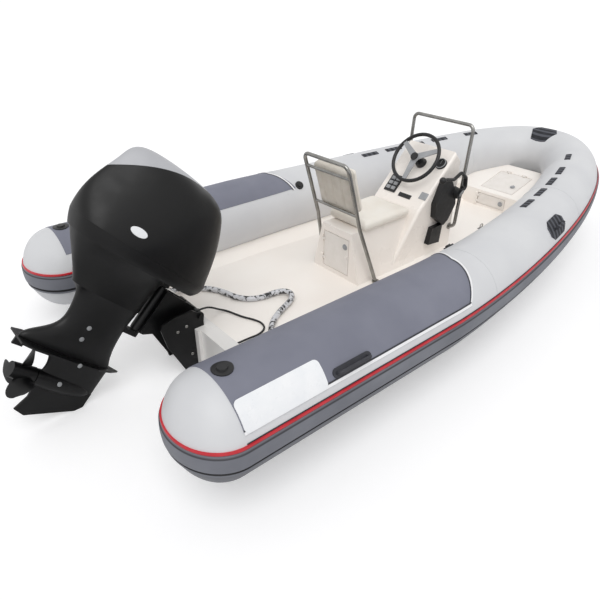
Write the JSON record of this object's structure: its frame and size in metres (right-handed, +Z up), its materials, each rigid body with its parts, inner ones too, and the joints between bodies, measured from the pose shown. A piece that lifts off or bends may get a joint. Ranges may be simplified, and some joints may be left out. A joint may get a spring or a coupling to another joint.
{
  "type": "inflatable rib boat",
  "caption": "Rigid inflatable boat with side tubes, V hull, jockey seat, steering console, bow locker and a tilted outboard engine.",
  "frame": {"origin": "amidships on the waterline, in the boat's middle plane", "axes": "+X towards the bow, +Y to port, +Z up"},
  "size_m": [4.988, 2.338, 1.5305],
  "materials": {
    "tube_fabric": "light grey coated fabric",
    "patch_fabric": "dark ribbed wear patch",
    "strake_rubber": "black rubber strake",
    "bead_red": "red rubber bead",
    "hull_gelcoat": "white gelcoat",
    "deck_gelcoat": "non-slip gelcoat",
    "console_gelcoat": "white gelcoat",
    "cushion_vinyl": "soft vinyl",
    "stainless": "polished tube",
    "black_plastic": "moulded plastic",
    "engine_paint": "dark satin paint",
    "cowl_paint": "dark gloss cowl",
    "cap_silver": "silver cowl top",
    "engine_block": "plain block",
    "panel_plastic": "white panel",
    "pad_rubber": "moulded black rubber",
    "hose_plastic": "flexible hose"
  },
  "bodies": {
    "boat": {"tube_port": "tube_fabric", "tube_starboard": "tube_fabric", "tube_bow": "tube_fabric", "stern_cap_port": "tube_fabric", "stern_cap_starboard": "tube_fabric", "wear_patch_port": "patch_fabric", "wear_patch_starboard": "patch_fabric", "rub_strake": "strake_rubber", "strake_bead": "bead_red", "hull_shell": "hull_gelcoat", "deck_liner": "deck_gelcoat", "transom_board": "hull_gelcoat", "bow_locker": "deck_gelcoat", "console": "console_gelcoat", "seat_box": "console_gelcoat", "seat_cushion": "cushion_vinyl", "backrest_frame": "stainless", "backrest_pad": "cushion_vinyl", "hoop_rail": "stainless", "helm": "black_plastic", "throttle": "black_plastic", "clamp_bracket": "engine_paint", "stern_eyes": "stainless", "bow_eye": "stainless", "deck_eye": "stainless", "step_pads": "pad_rubber", "lifting_patches": "pad_rubber", "side_handles": "patch_fabric", "tube_valves": "black_plastic", "switch_panel": "black_plastic", "dash_gauge": "black_plastic", "cord_boots": "pad_rubber", "rigging_hose": "hose_plastic", "control_cable": "hose_plastic"},
    "bow_lid": {"bow_lid": "panel_plastic"},
    "bow_door": {"bow_door": "panel_plastic"},
    "seat_door": {"seat_door": "panel_plastic"},
    "steering_wheel": {"steering_wheel": "black_plastic"},
    "swivel": {"swivel_bracket": "engine_paint"},
    "ram_cylinder": {"ram_cylinder": "engine_paint"},
    "ram_rod": {"ram_rod": "stainless"},
    "engine": {"leg_housing": "engine_paint", "gearcase": "engine_paint", "lower_cowl": "cowl_paint", "upper_cowl": "cowl_paint", "top_cap": "cap_silver", "powerhead": "engine_block"},
    "propeller": {"propeller": "engine_paint"}
  },
  "joints": [
    {"name": "engine_tilt", "type": "hinge", "parent": "boat", "child": "swivel", "pos_m": [-1.67, 0, 0.34], "axis": [0, 1, 0], "range_deg": [-46, 20]},
    {"name": "engine_steer", "type": "hinge", "parent": "swivel", "child": "engine", "pos_m": [-1.83116, 0, 0.50689], "axis": [0.7193, 0, 0.6947], "range_deg": [-30, 30]},
    {"name": "propeller_turn", "type": "hinge", "parent": "engine", "child": "propeller", "pos_m": [-2.57868, 0, 0.34525], "axis": [0.6947, 0, -0.7193], "continuous": true},
    {"name": "steering_wheel_turn", "type": "hinge", "parent": "boat", "child": "steering_wheel", "pos_m": [0.19915, 0, 0.85633], "axis": [-0.788, 0, 0.6157], "range_deg": [-540, 540]},
    {"name": "tilt_cylinder_swing", "type": "hinge", "parent": "boat", "child": "ram_cylinder", "pos_m": [-1.745, 0, -0.08], "axis": [0, 1, 0], "range_deg": [-3, 5]},
    {"name": "tilt_rod_slide", "type": "slide", "parent": "ram_cylinder", "child": "ram_rod", "axis": [-0.0105, 0, 0.9999], "range_m": [-0.068, 0.03]},
    {"name": "bow_lid_hinge", "type": "hinge", "parent": "boat", "child": "bow_lid", "pos_m": [1.68883, 0, 0.40446], "axis": [0, 1, 0], "range_deg": [0, 95]},
    {"name": "bow_door_hinge", "type": "hinge", "parent": "boat", "child": "bow_door", "pos_m": [1.3237, 0.141, 0.235], "axis": [0, 0, -1], "range_deg": [0, 105]},
    {"name": "seat_door_hinge", "type": "hinge", "parent": "boat", "child": "seat_door", "pos_m": [-0.5363, 0.129, 0.3275], "axis": [0, 0, -1], "range_deg": [0, 110]}
  ],
  "couplings": [
    {"joint": "steering_wheel_turn", "follows": "engine_steer", "ratio": -18},
    {"joint": "tilt_cylinder_swing", "follows": "engine_tilt", "ratio": -0.02},
    {"joint": "tilt_rod_slide", "follows": "engine_tilt", "m_per_rad": 0.0775}
  ]
}
